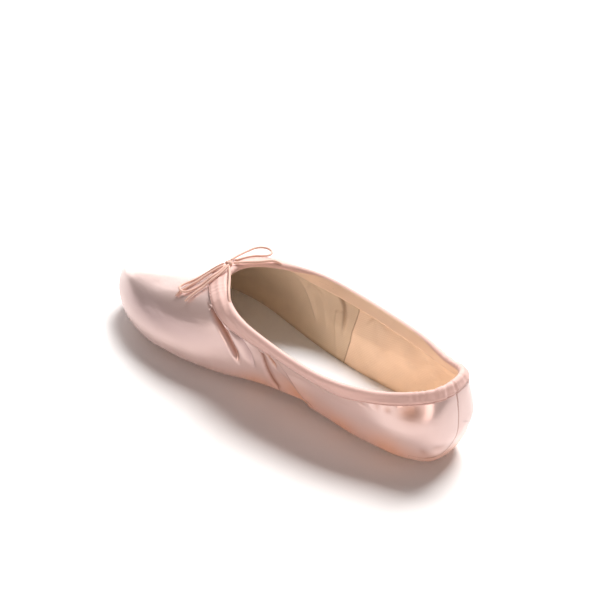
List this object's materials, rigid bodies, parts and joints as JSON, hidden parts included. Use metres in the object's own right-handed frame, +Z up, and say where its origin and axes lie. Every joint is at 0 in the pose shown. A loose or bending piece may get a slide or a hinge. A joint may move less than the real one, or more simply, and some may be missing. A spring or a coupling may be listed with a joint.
{
  "type": "pointe shoe",
  "caption": "Satin pointe shoe with a stiff box and flat platform, open collar with a drawstring casing and bow, and a short leather outsole.",
  "frame": {"origin": "on the floor under the middle of the shoe's length", "axes": "+X from the heel to the toe, +Y to the wearer's left, +Z up from the floor"},
  "size_m": [0.24, 0.083, 0.0562],
  "materials": {
    "satin": "glossy pale pink satin",
    "sock_lining": "pale grey cloth",
    "sole_leather": "plain tan leather, suede side out",
    "casing_tape": "matt pink woven tape",
    "drawstring": "peach braided cord"
  },
  "bodies": {
    "root": {"upper": "satin", "insole": "sock_lining", "outsole": "sole_leather", "collar_binding": "casing_tape", "drawstring_left": "drawstring", "drawstring_right": "drawstring", "bow_knot": "drawstring", "bow_loop_left": "drawstring", "bow_loop_right": "drawstring", "bow_end_left": "drawstring", "bow_end_right": "drawstring"}
  },
  "joints": []
}
